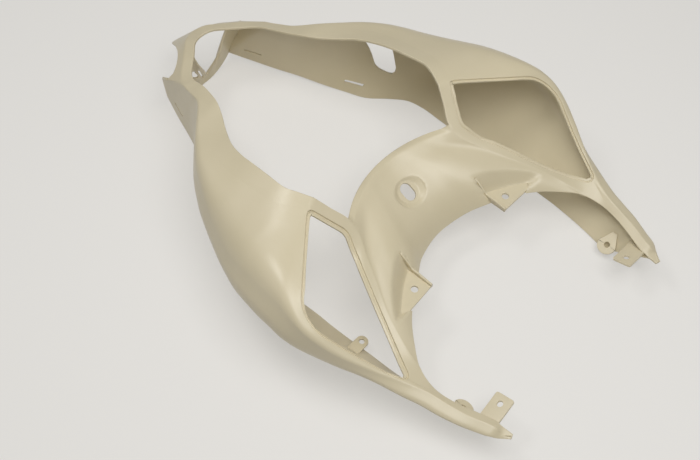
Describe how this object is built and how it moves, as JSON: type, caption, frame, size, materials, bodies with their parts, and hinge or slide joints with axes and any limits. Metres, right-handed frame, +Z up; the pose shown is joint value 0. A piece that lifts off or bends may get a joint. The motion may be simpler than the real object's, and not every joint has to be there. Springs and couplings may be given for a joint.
{
  "type": "seat cowl",
  "caption": "Horseshoe tail fairing of a motorcycle: hollow side pods with open vents, a saddle panel with a lock slot, slim front arms and a beaked tail.",
  "frame": {"origin": "centre of the bounding box on the surface that the lower edges rest on", "axes": "+X forward (towards the arms), +Y to the left, +Z up; symmetric about y = 0"},
  "size_m": [0.6379, 0.4426, 0.1381],
  "materials": {
    "abs": "unpainted moulded ABS, satin to semi-gloss"
  },
  "bodies": {
    "root": {"seat_cowl": "abs"}
  },
  "joints": []
}
